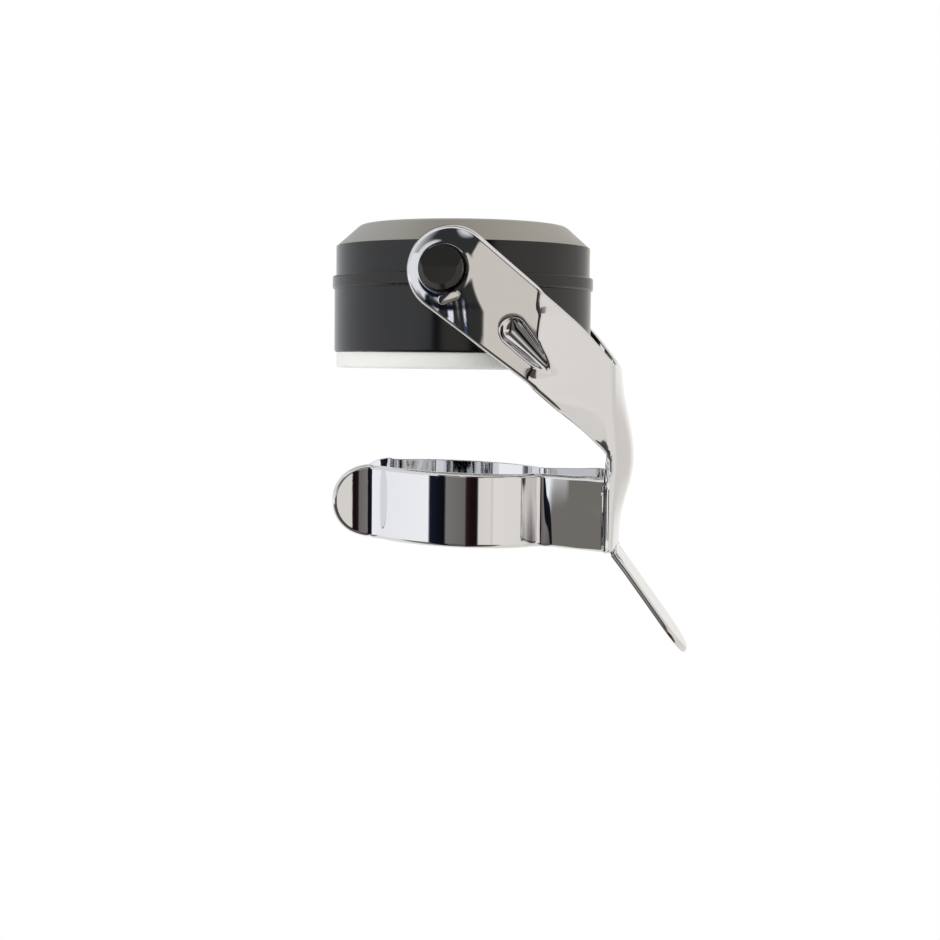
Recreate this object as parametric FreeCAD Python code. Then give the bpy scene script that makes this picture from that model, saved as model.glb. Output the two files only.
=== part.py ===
import FreeCAD, Part
import math
import os

from FreeCAD import Vector

# A lever-closed stopper for sparkling wine, in millimetres. The origin is on the
# cap's axis, level with the underside of the white ring. Z is up, X points to the
# back of the lever and Y runs along the hinge.

os.makedirs("parts", exist_ok=True)

# White retaining ring under the cap
mouth_bore = 29.6
mouth_chamfer = 0.6
ring_inset = 0.35
ring_height = 2.4
ring_spigot_height = 2.2
ring_spigot_wall = 2.8
spigot_gap = 0.05
ring_edge_round = 0.4

# Cap body and lid
body_height = 9.7
body_wall = 2.4
bead_proud = 0.3
bead_height = 2.1
lid_inset = 0.25
lid_height = 4.55
lid_wall = 2.2
lid_spigot_wall = 1.2
deck_thickness = 2.0
bead_round = 0.35

# Brushed steel cover on the lid
cover_sheet = 0.6
cover_rise = 3.35
cover_side_run = 3.75
cover_rim_inset = 0.05
cover_corner_radius = 1.4
cover_gap = 0.05

# Pressure plate, seal and spring
seal_thickness = 2.0
seal_edge_gap = 0.6
seal_bead = 0.5
seal_bead_gap = 0.8
seal_bead_width = 3.0
plate_thickness = 1.8
plate_edge_gap = 0.5
plate_boss_height = 2.6
seal_travel = 1.8
stop_gap = 0.2
stem_diameter = 8.0
stem_height = 7.0
guide_gap = 0.08
guide_wall = 1.4
guide_depth = 6.2
spring_diameter = 18.0
spring_wire = 2.2
spring_turns = 3.0
spring_seat_gap = 0.02

# Hinge trunnions moulded on the lid
hinge_height = 14.5
trunnion_diameter = 6.4
trunnion_reach = 3.2
trunnion_chamfer = 0.75
trunnion_bevel_angle = 32.0
shoulder_diameter = 8.4
shoulder_gap = 0.1
hinge_clearance = 0.06

# Lever, one pressing of chromed steel sheet
sheet = 0.9
arm_inner_gap = 0.45
eye_radius = 6.45
eye_offset_x = 1.0
eye_offset_z = -0.2
bend_set_back = 6.05
shoulder_past_bend = 0.3
shoulder_z = 11.5
brow_before_web = 4.3
brow_z = 5.9
web_top = 0.6
knee_before_bend = 0.2
knee_z = -3.0
flank_edge_angle = 44.1
arm_bend_z = 4.2
arm_bend_lean = 7.0
bend_round = 1.9
web_gap = 4.85
web_bulge = 2.35
bulge_height = -14.0
web_corner_set = 0.55
web_half_width = 11.6
web_top_half_width = 10.6
web_waist_height = -24.5
web_corner_round = 2.4
crown_rise_share = 0.35
crown_flat_share = 0.4
ridge_start_share = 0.25
ridge_end_share = 0.75
flank_ridge = 0.9
web_foot = -27.4
web_inner_margin = 1.2
window_corner_radius = 1.4

# Pressed details of the arms
gusset_before_bend = 3.8
gusset_near_z = 5.6
gusset_past_bend = 1.4
gusset_far_z = 0.2
gusset_near_radius = 2.1
gusset_near_lift = 0.8
gusset_far_radius = 0.7
gusset_far_lift = 0.3
gusset_wall_share = 0.97
pip_x = 0.9
pip_z = 10.3
pip_length = 3.2
pip_width = 1.5
pip_height = 0.45
pip_angle = 23.0

# Neck collar
neck_diameter = 26.9
collar_gap = 0.35
collar_top = -15.4
collar_height = 11.2
collar_tilt = 1.9
ear_foot_angle = 26.0
flare_start_angle = 42.0
flare_radius = 4.0
flare_turn = 66.0
collar_tip_x = -18.3
tip_round_radius = 5.4

# Thumb tab
tab_length = 19.6
tab_half_width = 6.3
tab_angle = 35.0
tab_tip_radius = 5.6

# Sizes worked out from the ones above
mouth_radius = mouth_bore / 2
spigot_radius = mouth_radius + ring_spigot_wall
chamber_radius = spigot_radius + spigot_gap
body_radius = chamber_radius + body_wall
ring_radius = body_radius - ring_inset
bead_radius = body_radius + bead_proud
lid_radius = body_radius - lid_inset
cover_rim_radius = lid_radius - cover_rim_inset
cover_flat_radius = cover_rim_radius - cover_side_run
body_bottom = ring_height
body_top = body_bottom + body_height
bead_top = body_top + bead_height
lid_top = bead_top + lid_height
deck_top = lid_top + cover_rise - cover_sheet
deck_bottom = deck_top - deck_thickness
seal_bottom = ring_height + ring_spigot_height
seal_top = seal_bottom + seal_thickness
plate_top = seal_top + plate_thickness
lid_spigot_bottom = plate_top + seal_travel + stop_gap
arm_inner = bead_radius + arm_inner_gap
arm_outer = arm_inner + sheet
web_x = body_radius + web_gap
arm_bend_x = body_radius - bend_set_back
shoulder_x = arm_bend_x + shoulder_past_bend
brow_x = web_x - brow_before_web
knee_x = arm_bend_x - knee_before_bend
gusset_near_x = arm_bend_x - gusset_before_bend
gusset_far_x = arm_bend_x + gusset_past_bend
trunnion_radius = trunnion_diameter / 2
hole_radius = trunnion_radius + hinge_clearance
collar_inner_radius = neck_diameter / 2 + collar_gap
origin = Vector(0, 0, 0)
along_y = Vector(0, 1, 0)
along_z = Vector(0, 0, 1)


def turned(points):
    """Solid of revolution about the cap's axis from (radius, height) points."""
    corners = [Vector(r, 0, z) for r, z in points]
    outline = Part.makePolygon(corners + [corners[0]])
    return Part.Face(outline).revolve(origin, along_z, 360)


def disc(radius, bottom, top):
    return Part.makeCylinder(radius, top - bottom, Vector(0, 0, bottom))


def rounded(solid, radius, picks):
    """Rounds the circular edges at the given (radius, height) places."""
    chosen = []
    for edge in solid.Edges:
        if not isinstance(edge.Curve, Part.Circle):
            continue
        for r, z in picks:
            if abs(edge.Curve.Radius - r) < 0.01 and abs(edge.Curve.Center.z - z) < 0.01:
                chosen.append(edge)
    return solid.makeFillet(radius, chosen)


def side_face(points):
    """Face in the hinge's XZ plane from (x, z) points."""
    corners = [Vector(x, 0, z) for x, z in points]
    return Part.Face(Part.makePolygon(corners + [corners[0]]))


def across(face, half_width):
    """Side face made solid from -half_width to half_width."""
    moved = face.translated(Vector(0, -half_width, 0))
    return moved.extrude(Vector(0, 2 * half_width, 0))


def make_retaining_ring():
    """Ring that closes the cap from below and holds the seal in."""
    ring = turned((
        (mouth_radius, 0),
        (ring_radius, 0),
        (ring_radius, ring_height),
        (spigot_radius, ring_height),
        (spigot_radius, seal_bottom),
        (mouth_radius + mouth_chamfer, seal_bottom),
        (mouth_radius, seal_bottom - mouth_chamfer),
    ))
    return rounded(ring, ring_edge_round, ((ring_radius, 0),))


def make_cap_body():
    """Lower half of the cap: a plain moulded sleeve."""
    body = turned((
        (chamber_radius, body_bottom),
        (body_radius, body_bottom),
        (body_radius, body_top),
        (chamber_radius, body_top),
    ))
    return rounded(body, bead_round, ((body_radius, body_bottom),))


def cover_slope(inset):
    """Rim and flat radii of the cover's outside, moved inwards along its slope."""
    slant = math.hypot(cover_side_run, cover_rise)
    side = inset * slant / cover_rise
    drop = inset * cover_side_run / cover_rise
    rim = cover_rim_radius - side
    flat = cover_flat_radius - side + drop
    return rim, flat


def make_top_cover():
    """Dished steel cover: a flat top and a straight sloping side."""
    rim, flat = cover_slope(0)
    inner_rim, inner_flat = cover_slope(cover_sheet)
    top = lid_top + cover_rise
    outside = turned(((0, lid_top), (rim, lid_top), (flat, top), (0, top)))
    outside = rounded(outside, cover_corner_radius, ((flat, top),))
    inside = turned((
        (0, lid_top),
        (inner_rim, lid_top),
        (inner_flat, deck_top),
        (0, deck_top),
    ))
    inside = rounded(inside, cover_corner_radius - cover_sheet, ((inner_flat, deck_top),))
    return outside.cut(inside)


def lid_shell():
    """Upper half of the cap with the bead on its rim and the spring's seat inside."""
    rim, flat = cover_slope(cover_sheet + cover_gap)
    inside = lid_radius - lid_wall
    lid = turned((
        (0, deck_bottom),
        (flat - deck_thickness, deck_bottom),
        (inside - lid_spigot_wall, lid_top - deck_thickness),
        (inside - lid_spigot_wall, lid_spigot_bottom),
        (spigot_radius, lid_spigot_bottom),
        (spigot_radius, body_top),
        (bead_radius, body_top),
        (bead_radius, bead_top),
        (lid_radius, bead_top),
        (lid_radius, lid_top),
        (rim, lid_top),
        (flat - cover_corner_radius, deck_top),
        (0, deck_top),
    ))
    lid = rounded(lid, bead_round, ((bead_radius, body_top), (bead_radius, bead_top)))
    guide_outer = stem_diameter / 2 + guide_gap + guide_wall
    guide = disc(guide_outer, deck_bottom - guide_depth, deck_bottom + deck_thickness / 2)
    bore = disc(stem_diameter / 2 + guide_gap, deck_bottom - guide_depth, deck_bottom)
    return lid.fuse(guide).cut(bore)


def trunnion(side):
    """Hinge pin moulded on the lid; its upper half is bevelled to spring the arm over."""
    start = lid_radius - lid_wall / 2
    face = arm_outer + trunnion_reach
    pin = Part.makeCylinder(trunnion_radius, face - start, Vector(0, start, hinge_height), along_y)
    rim = [e for e in pin.Edges if isinstance(e.Curve, Part.Circle) and e.Curve.Center.y > arm_outer]
    pin = pin.makeChamfer(trunnion_chamfer, rim)
    back = trunnion_diameter * math.tan(math.radians(trunnion_bevel_angle))
    wedge_corners = (
        Vector(-trunnion_radius, face, hinge_height),
        Vector(-trunnion_radius, face - back, hinge_height + trunnion_diameter),
        Vector(-trunnion_radius, face + back, hinge_height + trunnion_diameter),
        Vector(-trunnion_radius, face + back, hinge_height),
    )
    wedge = Part.Face(Part.makePolygon(wedge_corners + wedge_corners[:1]))
    pin = pin.cut(wedge.extrude(Vector(trunnion_diameter, 0, 0)))
    shoulder_end = arm_inner - shoulder_gap
    shoulder = Part.makeCylinder(
        shoulder_diameter / 2, shoulder_end - start, Vector(0, start, hinge_height), along_y)
    pin = pin.fuse(shoulder)
    if side < 0:
        pin = pin.mirror(origin, along_y)
    return pin


def make_cap_lid():
    lid = lid_shell()
    inside = disc(lid_radius - lid_wall / 2, 0, lid_top)
    below = disc(body_radius + spigot_gap, 0, body_top)
    above = disc(cover_rim_radius + cover_gap, lid_top, lid_top + cover_rise)
    for side in (-1, 1):
        pin = trunnion(side).cut(inside).cut(below).cut(above)
        lid = lid.fuse(pin)
    return lid.removeSplitter()


def make_seal():
    """Silicone disc with a raised bead that meets the rim of the bottle's mouth."""
    radius = chamber_radius - seal_edge_gap
    bead_out = mouth_radius - seal_bead_gap
    bead_in = bead_out - seal_bead_width
    return turned((
        (0, seal_bottom),
        (bead_in, seal_bottom),
        (bead_in + seal_bead, seal_bottom - seal_bead),
        (bead_out - seal_bead, seal_bottom - seal_bead),
        (bead_out, seal_bottom),
        (radius, seal_bottom),
        (radius, seal_top),
        (0, seal_top),
    ))


def make_pressure_plate():
    """Plate behind the seal, with the stem that slides in the lid's guide."""
    radius = chamber_radius - plate_edge_gap
    spring_inside = (spring_diameter - spring_wire) / 2 - plate_edge_gap
    stem_top = plate_top + stem_height
    return turned((
        (0, seal_top),
        (radius, seal_top),
        (radius, plate_top),
        (spring_inside, plate_top),
        (spring_inside - plate_edge_gap, plate_top + plate_boss_height - plate_edge_gap),
        (stem_diameter / 2, plate_top + plate_boss_height - plate_edge_gap),
        (stem_diameter / 2, stem_top),
        (0, stem_top),
    ))


def make_spring():
    """Coil spring between the pressure plate and the deck of the lid."""
    start = plate_top + spring_wire / 2 + spring_seat_gap
    height = deck_bottom - spring_seat_gap - spring_wire / 2 - start
    radius = spring_diameter / 2
    path = Part.Wire(Part.makeLongHelix(height / spring_turns, height, radius).Edges)
    section = Part.Wire(Part.makeCircle(spring_wire / 2, Vector(radius, 0, 0), along_y))
    coil = path.makePipeShell([section], True, True)
    return coil.translated(Vector(0, 0, start))


def station(height):
    """Outer plan sizes of the pressing at a height: half width, corner and crown."""
    down = (web_top - height) / (web_top - bulge_height)
    down = min(1.0, max(0.0, down))
    half = web_top_half_width + (web_half_width - web_top_half_width) * down
    if height >= bulge_height:
        crown = web_x + web_bulge * (1 - math.cos(math.pi * down)) / 2
    else:
        fall = (bulge_height - height) / (bulge_height - web_waist_height)
        crown = web_x + web_bulge * (1 + math.cos(math.pi * min(1.0, fall))) / 2
    return half, web_x - web_corner_set, crown


def bend_place(height):
    """Distance back to the arm's bend, which leans with height."""
    lean = math.tan(math.radians(arm_bend_lean))
    level = max(knee_z, min(shoulder_z, height))
    return arm_bend_x + (level - arm_bend_z) * lean


def ear_share(height):
    """How far the section has turned from the flank's direction to the ear's, 0 to 1."""
    start = (knee_z + heel()[1]) / 2
    return max(0.0, min(1.0, (start - height) / (start - collar_top)))


def plan_poles(height, inset):
    """Control points of half a plan section, from the near arm to the crown."""
    half, corner_x, crown = station(height)
    ear = ear_share(height)
    foot_y = collar_inner_radius * math.sin(math.radians(ear_foot_angle))
    bend = Vector(bend_place(height), -arm_outer + (arm_outer - foot_y) * ear, 0)
    corner = Vector(corner_x, -half, 0)
    run = corner.sub(bend)
    step = Vector(run).normalize()
    out = Vector(step.y, -step.x, 0)
    share = max(0.0, min(1.0, (shoulder_z - height) / (shoulder_z - web_top)))
    ridge_share = ridge_start_share + (ridge_end_share - ridge_start_share) * share
    swell = flank_ridge * math.sin(math.pi * ridge_share) * (1 - ear)
    ridge = bend + run * ridge_share + out * swell
    rise = crown - corner_x
    poles = [
        Vector(-eye_radius - 2 * sheet, bend.y, 0),
        Vector(0, bend.y, 0),
        bend - Vector(bend_round, 0, 0),
        bend,
        bend + step * bend_round,
        ridge,
        corner - step * web_corner_round,
        corner,
        Vector(corner_x + rise * crown_rise_share, -half + web_corner_round, 0),
        Vector(crown, -half * crown_flat_share, 0),
        Vector(crown, 0, 0),
    ]
    poles = inset_poles(poles, inset)
    return [Vector(p.x, p.y, height) for p in poles]


def inset_poles(poles, inset):
    """Moves an open control polygon inwards by the sheet's thickness."""
    moved = []
    last = len(poles) - 1
    for n, pole in enumerate(poles):
        before = pole - poles[n - 1] if n else poles[1] - pole
        after = poles[n + 1] - pole if n < last else Vector(0, 1, 0)
        a = Vector(before).normalize()
        b = Vector(after).normalize()
        normal = Vector(-(a.y + b.y), a.x + b.x, 0).normalize()
        lean = normal.dot(Vector(-a.y, a.x, 0))
        moved.append(pole + normal * (inset / max(0.5, lean)))
    return moved


def clamped_knots(count):
    """Knots and multiplicities of a cubic curve with that many control points."""
    spans = count - 3
    return list(range(spans + 1)), [4] + [1] * (spans - 1) + [4]


def net_heights():
    """Heights of the control rows, from above the eyes to below the web's foot."""
    top = hinge_height + eye_radius + 2 * sheet
    drop = web_top - bulge_height
    fall = bulge_height - web_waist_height
    rows = [top, shoulder_z, (shoulder_z + web_top) / 2, web_top]
    rows += [web_top - drop * share / 4 for share in (1, 2, 3, 4)]
    rows += [bulge_height - fall * share / 3 for share in (1, 2, 3)]
    return rows + [web_foot - 2 * sheet]


def pressing_form(inset):
    """Solid bounded by the pressing's outer or inner surface."""
    net = []
    for height in net_heights():
        half = plan_poles(height, inset)
        net.append(half + [Vector(p.x, -p.y, p.z) for p in reversed(half[:-1])])
    row_knots, row_mults = clamped_knots(len(net))
    plan_knots, plan_mults = clamped_knots(len(net[0]))
    surface = Part.BSplineSurface()
    surface.buildFromPolesMultsKnots(
        net, row_mults, plan_mults, row_knots, plan_knots, False, False, 3, 3)
    skin = surface.toShape()
    faces = [skin]
    sides = []
    for row, knot in ((net[0], row_knots[0]), (net[-1], row_knots[-1])):
        rim = surface.uIso(knot).toShape()
        chord = Part.makeLine(row[-1], row[0])
        faces.append(Part.Face(Part.Wire([rim, chord])))
        sides.append((row[0], row[-1]))
    near_edge = surface.vIso(plan_knots[0]).toShape()
    far_edge = surface.vIso(plan_knots[-1]).toShape()
    top_chord = Part.makeLine(*sides[0])
    foot_chord = Part.makeLine(*sides[1])
    opening = Part.Wire(Part.__sortEdges__([near_edge, foot_chord, far_edge, top_chord]))
    faces.append(Part.Face(opening))
    shell = Part.Shell(faces)
    shell.sewShape()
    solid = Part.Solid(shell)
    solid.fixTolerance(1e-5)
    return solid if solid.Volume > 0 else solid.reversed()


def gusset_tool(extra):
    """Teardrop pressed inwards across the bend of the near arm."""
    half, corner_x, crown = station(gusset_far_z)
    bend_x = bend_place(gusset_far_z)
    slope = (arm_outer - half) / (corner_x - bend_x)
    near = Vector(gusset_near_x, -arm_outer - gusset_near_lift, gusset_near_z)
    far_y = -arm_outer - gusset_far_lift + (gusset_far_x - bend_x) * slope
    far = Vector(gusset_far_x, far_y, gusset_far_z)
    axis = far - near
    near_radius = gusset_near_radius + extra
    far_radius = gusset_far_radius + extra
    cone = Part.makeCone(near_radius, far_radius, axis.Length, near, axis)
    tool = cone.fuse(Part.makeSphere(near_radius, near))
    return tool.fuse(Part.makeSphere(far_radius, far)).removeSplitter()


def tangent_point(centre, radius, point, turn):
    """Where a line from a point touches a circle; turn picks the side."""
    dx = point[0] - centre[0]
    dz = point[1] - centre[1]
    reach = math.hypot(dx, dz)
    angle = math.atan2(dz, dx) + turn * math.acos(radius / reach)
    return centre[0] + radius * math.cos(angle), centre[1] + radius * math.sin(angle)


def heel():
    """Upper corner of the window, where the flank's lower edge meets the web."""
    x = web_x - web_inner_margin
    return x, knee_z - (x - knee_x) * math.tan(math.radians(flank_edge_angle))


def lever_side():
    """Side outline of the arms, flanks and web."""
    centre = (eye_offset_x, hinge_height + eye_offset_z)
    shoulder = (shoulder_x, shoulder_z)
    brow = (brow_x, brow_z)
    knee = (knee_x, knee_z)
    slope = (brow_z - web_top) / (web_x - brow_x)
    far_x = web_x + web_bulge + 2 * sheet
    far_top = (far_x, web_top - (far_x - web_x) * slope)
    outline = [
        centre,
        tangent_point(centre, eye_radius, shoulder, 1),
        shoulder,
        brow,
        far_top,
        (far_x, web_foot),
        (heel()[0], web_foot),
        heel(),
        knee,
        tangent_point(centre, eye_radius, knee, -1),
    ]
    band = across(side_face(outline), arm_outer + sheet)
    start = Vector(centre[0], -arm_outer - sheet, centre[1])
    eye = Part.makeCylinder(eye_radius, 2 * (arm_outer + sheet), start, along_y)
    return band.fuse(eye).removeSplitter()


def collar_solid():
    """Spring collar round the neck: ears, hoop and flared ends, cut to its slanted band."""
    low = collar_top - 2 * collar_height
    tall = 3 * collar_height
    outer_radius = collar_inner_radius + sheet
    foot = math.radians(ear_foot_angle)
    hoop = Part.makeCylinder(outer_radius, tall, Vector(0, 0, low))
    hoop = hoop.cut(Part.makeCylinder(collar_inner_radius, tall, Vector(0, 0, low)))
    start = math.radians(180 + flare_start_angle)
    keep = sector(origin, outer_radius * 3, start, 2 * math.pi - foot, low, tall)
    near = hoop.common(keep)
    centre_distance = outer_radius + flare_radius
    centre = Vector(centre_distance * math.cos(start), centre_distance * math.sin(start), 0)
    turn = math.radians(flare_turn)
    flare = Part.makeCylinder(flare_radius + sheet, tall, Vector(centre.x, centre.y, low))
    flare = flare.cut(Part.makeCylinder(flare_radius, tall, Vector(centre.x, centre.y, low)))
    facing = start + math.pi
    flare = flare.common(sector(centre, flare_radius * 3, facing, facing + turn, low, tall))
    near = near.fuse(flare)
    end = facing + turn
    end_inner = centre + Vector(math.cos(end), math.sin(end), 0) * flare_radius
    end_outer = centre + Vector(math.cos(end), math.sin(end), 0) * (flare_radius + sheet)
    away = Vector(-math.sin(end), math.cos(end), 0)
    lip_length = (end_inner.x - collar_tip_x) / max(0.2, -away.x)
    near = near.fuse(plate((end_inner, end_outer), away * lip_length, low, tall))
    middle = (collar_inner_radius + sheet / 2)
    foot_point = Vector(middle * math.cos(foot), -middle * math.sin(foot), 0)
    corner = Vector(web_x - sheet / 2, -web_half_width + sheet / 2, 0)
    ear_run = corner - foot_point
    side = Vector(-ear_run.y, ear_run.x, 0).normalize() * (sheet / 2)
    near = near.fuse(plate((foot_point - side, foot_point + side), ear_run, low, tall))
    for knuckle in (foot_point, corner):
        near = near.fuse(Part.makeCylinder(sheet / 2, tall, Vector(knuckle.x, knuckle.y, low)))
    hoop = near.fuse(near.mirror(origin, along_y))
    return hoop.common(collar_band())


def sector(centre, radius, start, end, low, tall):
    """Pie slice between two angles, in radians."""
    steps = 6
    angles = [start + (end - start) * n / steps for n in range(steps + 1)]
    rim = [centre + Vector(math.cos(a), math.sin(a), 0) * radius for a in angles]
    points = [Vector(p.x, p.y, low) for p in [centre] + rim + [centre]]
    return Part.Face(Part.makePolygon(points)).extrude(Vector(0, 0, tall))


def plate(ends, run, low, tall):
    """Upright plate from a short edge along a run."""
    a, b = ends
    points = [Vector(p.x, p.y, low) for p in (a, b, b + run, a + run, a)]
    return Part.Face(Part.makePolygon(points)).extrude(Vector(0, 0, tall))


def collar_band():
    """Side outline of the collar: slanted edges and rounded ends."""
    slope = math.tan(math.radians(collar_tilt))
    back = web_x + sheet

    def top(x):
        return collar_top - x * slope

    face = side_face((
        (collar_tip_x, top(collar_tip_x)),
        (back, top(back)),
        (back, web_foot),
        (heel()[0], web_foot),
        (collar_tip_x, top(collar_tip_x) - collar_height),
    ))
    band = across(face, 2 * arm_outer)
    corner_x = heel()[0] - window_corner_radius
    rise = top(corner_x) + window_corner_radius
    block = side_face((
        (corner_x, rise - 2 * window_corner_radius),
        (back, rise - 2 * window_corner_radius),
        (back, rise),
        (corner_x, rise),
    ))
    start = Vector(corner_x, -2 * arm_outer, rise)
    round_cut = Part.makeCylinder(window_corner_radius, 4 * arm_outer, start, along_y)
    corner_web = across(block, 2 * arm_outer).cut(round_cut)
    corners = [e for e in band.Edges
               if abs(e.CenterOfMass.x - collar_tip_x) < 0.01 and e.BoundBox.YLength > arm_outer]
    return band.makeFillet(tip_round_radius, corners).fuse(corner_web)


def thumb_tab():
    """Flat tab bent outwards from the web's foot, with a rounded end."""
    corner = Vector(-sheet, -tab_half_width, -tab_length)
    outline = Part.makeBox(sheet, 2 * tab_half_width, tab_length, corner)
    corners =[e for e in outline.Edges
               if abs(e.CenterOfMass.z + tab_length) < 0.01 and e.BoundBox.XLength > sheet / 2]
    tab = outline.makeFillet(tab_tip_radius, corners)
    tab.rotate(origin, along_y, -tab_angle)
    start = Vector(0, -tab_half_width, 0)
    knuckle = Part.makeCylinder(sheet, 2 * tab_half_width, start, along_y, tab_angle)
    knuckle.rotate(origin, along_y, -90 - tab_angle)
    tab = tab.fuse(knuckle)
    tab.translate(Vector(web_x, 0, web_foot))
    return tab


def both_sides(shape):
    """The shape and its mirror image on the far arm."""
    return shape, shape.mirror(origin, along_y)


def pip_bar():
    """Small raised dash on the near arm, below its eye."""
    depth = sheet / 2 + pip_height
    reach = (pip_length - pip_width) / 2
    bar = Part.makeBox(2 * reach, depth, pip_width, Vector(-reach, -depth, -pip_width / 2))
    for end in (-reach, reach):
        bar = bar.fuse(Part.makeCylinder(pip_width / 2, depth, Vector(end, 0, 0), Vector(0, -1, 0)))
    bar.rotate(origin, along_y, -pip_angle)
    bar.translate(Vector(pip_x, -arm_outer + sheet / 2, pip_z))
    return bar


def make_lever():
    """Arms, flanks, web, collar and thumb tab, pressed from one sheet."""
    outer = pressing_form(0)
    shell = outer.cut(pressing_form(sheet))
    walls = both_sides(gusset_tool(sheet * gusset_wall_share))
    for wall, dent in zip(walls, both_sides(gusset_tool(0))):
        shell = shell.fuse(wall.common(outer)).cut(dent)
    lever = shell.common(lever_side())
    lever = lever.fuse(collar_solid())
    lever = lever.fuse(thumb_tab())
    for bar in both_sides(pip_bar()):
        lever = lever.fuse(bar)
    bore = Part.makeCylinder(hole_radius, 4 * arm_outer, Vector(0, -2 * arm_outer, hinge_height), along_y)
    return lever.cut(bore).removeSplitter()


nodes = {
    "retaining_ring": make_retaining_ring,
    "cap_body": make_cap_body,
    "cap_lid": make_cap_lid,
    "top_cover": make_top_cover,
    "seal": make_seal,
    "pressure_plate": make_pressure_plate,
    "spring": make_spring,
    "lever": make_lever,
}

for name, make in nodes.items():
    shape = make()
    if len(shape.Solids) == 1:
        shape = shape.Solids[0]
    shape.exportStep("parts/" + name + ".step")
    box = shape.BoundBox
    print(name, len(shape.Solids), shape.isValid(), round(shape.Volume, 1),
          [round(v, 2) for v in (box.XMin, box.XMax, box.YMin, box.YMax, box.ZMin, box.ZMax)])
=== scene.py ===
import math

import bmesh
import bpy
from mathutils import Matrix, Vector


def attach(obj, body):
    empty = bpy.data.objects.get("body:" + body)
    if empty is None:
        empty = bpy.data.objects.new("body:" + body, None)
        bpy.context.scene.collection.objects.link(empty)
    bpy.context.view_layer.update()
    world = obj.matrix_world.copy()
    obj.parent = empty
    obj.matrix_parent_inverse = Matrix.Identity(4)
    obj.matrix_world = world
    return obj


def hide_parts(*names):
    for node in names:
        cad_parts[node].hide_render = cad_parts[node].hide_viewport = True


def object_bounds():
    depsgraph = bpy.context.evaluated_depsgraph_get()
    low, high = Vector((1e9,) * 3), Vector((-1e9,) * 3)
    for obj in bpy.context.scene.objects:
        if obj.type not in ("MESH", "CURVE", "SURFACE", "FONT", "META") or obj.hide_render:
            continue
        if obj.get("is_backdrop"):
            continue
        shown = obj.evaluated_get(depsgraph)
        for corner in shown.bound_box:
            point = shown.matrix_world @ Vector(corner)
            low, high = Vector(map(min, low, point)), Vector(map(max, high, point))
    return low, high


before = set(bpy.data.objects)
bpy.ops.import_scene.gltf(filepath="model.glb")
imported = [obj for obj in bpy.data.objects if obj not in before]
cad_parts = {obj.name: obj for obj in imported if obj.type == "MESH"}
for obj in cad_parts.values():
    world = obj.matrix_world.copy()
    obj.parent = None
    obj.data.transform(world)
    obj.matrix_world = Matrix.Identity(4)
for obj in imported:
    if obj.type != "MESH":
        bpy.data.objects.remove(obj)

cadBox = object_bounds()
mm = 0.001

# Camera: about level with the white ring, a little round to the lever's side
camera = {
    "distance": 250.0,      # from the cap's axis
    "azimuth": 7.7,
    "height": 1.66,
    "focalPixels": 1585.0,
    "imageSize": 940,
    "centre": 470.0,        # the frame's middle
    "axisColumn": 461.0,    # where the cap's axis crosses the level line
    "horizonRow": 358.0,
    "roll": 0.62,
    "sensor": 36.0,
    "clip": (0.01, 50.0),   # metres
}


def makeCamera(c):
    turn = math.radians(c["azimuth"])
    place = Vector((math.sin(turn), -math.cos(turn), 0)) * c["distance"]
    place.z = c["height"]
    yaw = math.atan((c["centre"] - c["axisColumn"]) / c["focalPixels"])
    pitch = -math.atan((c["centre"] - c["horizonRow"]) / c["focalPixels"])
    ahead = Vector((-math.sin(turn), math.cos(turn), 0))
    right = Vector((math.cos(turn), math.sin(turn), 0))
    look = ahead * math.cos(yaw) + right * math.sin(yaw)
    look = look * math.cos(pitch) + Vector((0, 0, math.sin(pitch)))
    side = look.cross(Vector((0, 0, 1))).normalized()
    up = side.cross(look)
    roll = math.radians(c["roll"])
    sideRolled = side * math.cos(roll) + up * math.sin(roll)
    upRolled = up * math.cos(roll) - side * math.sin(roll)
    data = bpy.data.cameras.new("photoCamera")
    data.sensor_width = c["sensor"]
    data.lens = c["focalPixels"] * c["sensor"] / c["imageSize"]
    data.clip_start, data.clip_end = c["clip"]
    cam = bpy.data.objects.new("photoCamera", data)
    turnMatrix = Matrix((sideRolled, upRolled, -look)).transposed()
    cam.matrix_world = Matrix.Translation(place * mm) @ turnMatrix.to_4x4()
    bpy.context.scene.collection.objects.link(cam)
    bpy.context.scene.camera = cam


def linear(code):
    # sRGB hex to a linear colour
    parts = [int(code[n:n + 2], 16) / 255 for n in (1, 3, 5)]
    return [p / 12.92 if p <= 0.04045 else ((p + 0.055) / 1.055) ** 2.4 for p in parts] + [1]


def addNode(tree, kind, links=None, **settings):
    # one node with its settings, and links to its inputs as {input: other node's output}
    node = tree.nodes.new(kind)
    for key, value in settings.items():
        if hasattr(node, key):
            setattr(node, key, value)
        else:
            node.inputs[key.replace("_", " ")].default_value = value
    for key, source in (links or {}).items():
        tree.links.new(source, node.inputs[key])
    return node


def newMaterial(name, **constants):
    # a material with constants set on its shader's sockets
    mat = bpy.data.materials.new(name)
    mat.use_nodes = True
    shader = mat.node_tree.nodes["Principled BSDF"]
    for key, value in constants.items():
        shader.inputs[key.replace("_", " ")].default_value = value
    return mat, mat.node_tree, shader


def useMaterial(obj, mat):
    if obj.data.materials:
        for n in range(len(obj.data.materials)):
            obj.data.materials[n] = mat
    else:
        obj.data.materials.append(mat)


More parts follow.
